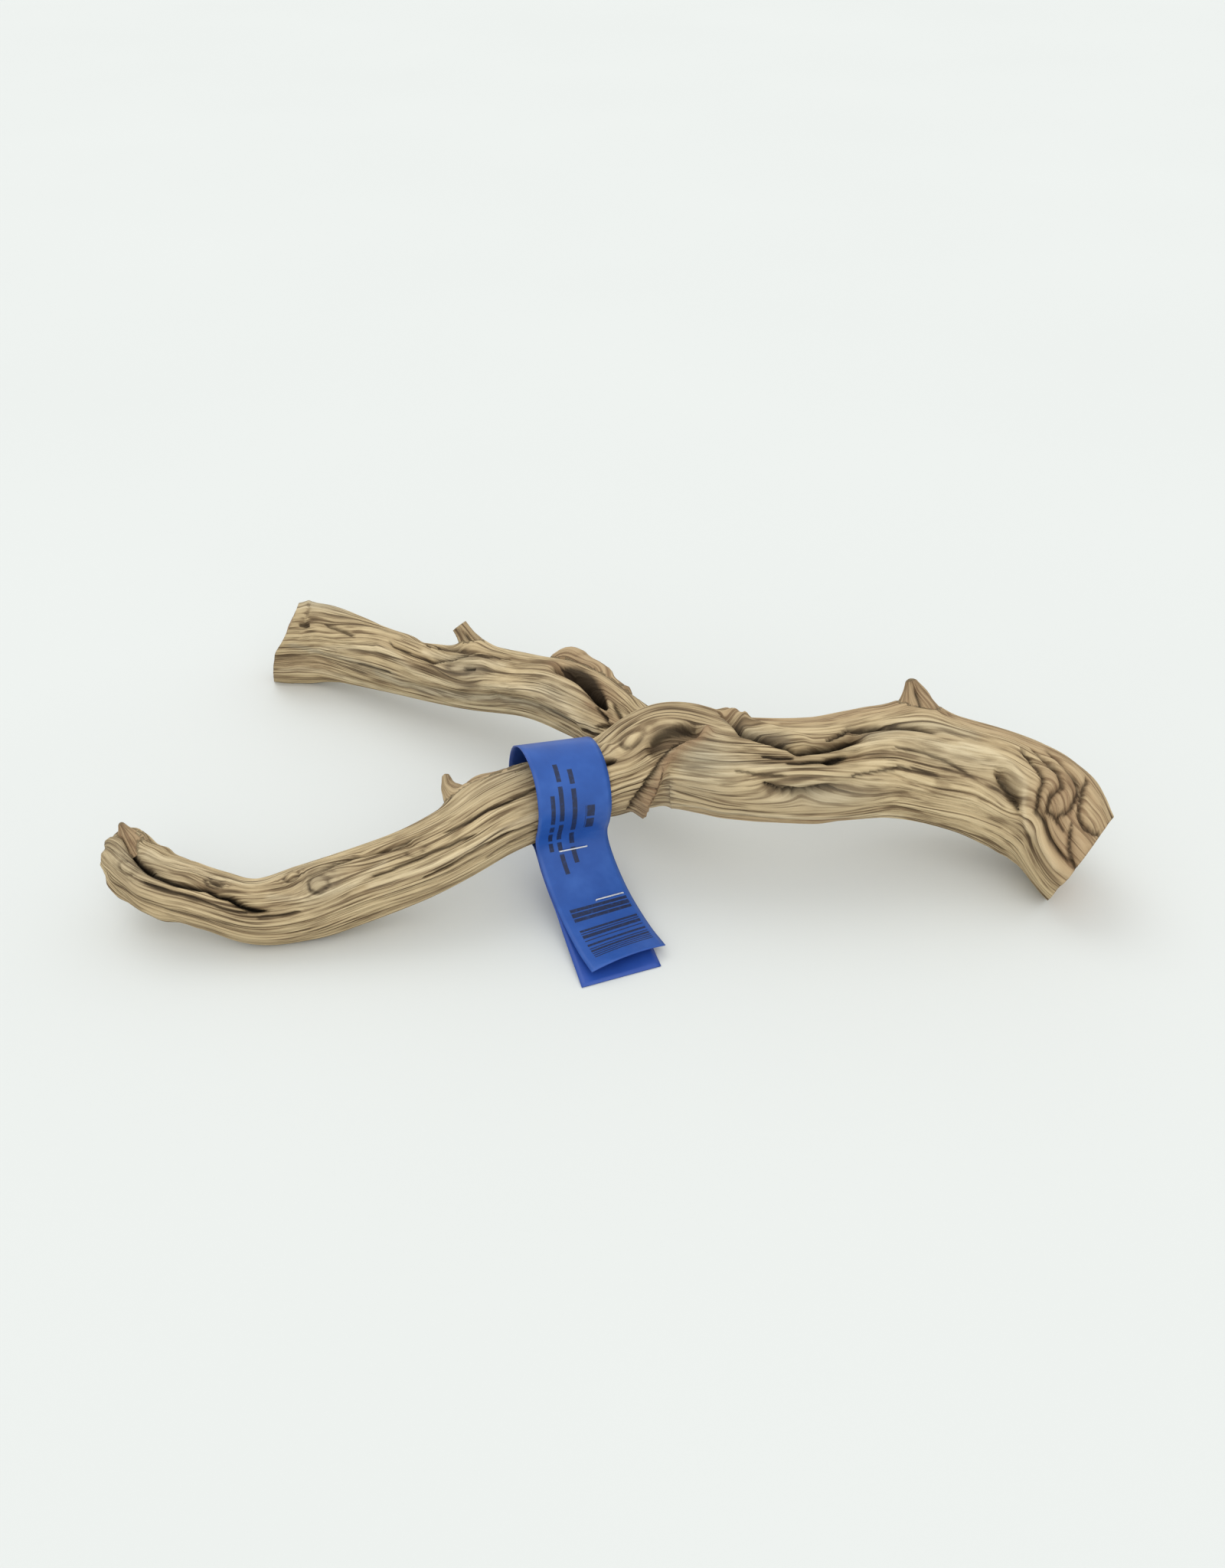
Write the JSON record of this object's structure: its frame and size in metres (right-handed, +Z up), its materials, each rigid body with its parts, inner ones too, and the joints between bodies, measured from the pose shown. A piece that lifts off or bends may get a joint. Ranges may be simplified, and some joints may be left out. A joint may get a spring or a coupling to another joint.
{
  "type": "forked branch",
  "caption": "Sandblasted manzanita branch, forked and gnarled, lying on three low points, with a paper hang band stapled round one limb.",
  "frame": {"origin": "on the supporting surface, below the middle of the whole object's bounding box", "axes": "+X towards the thick sawn end, +Y towards the flared end of the back limb, +Z up from the surface that it lies on"},
  "size_m": [0.3892, 0.2308, 0.073],
  "materials": {
    "branch": "dry weathered grain, matt",
    "tag": "coated paper, faint sheen",
    "staples": "bright zinc-plated wire"
  },
  "bodies": {
    "root": {"branch": "branch", "tag": "tag", "staple_upper": "staples", "staple_lower": "staples"}
  },
  "joints": []
}
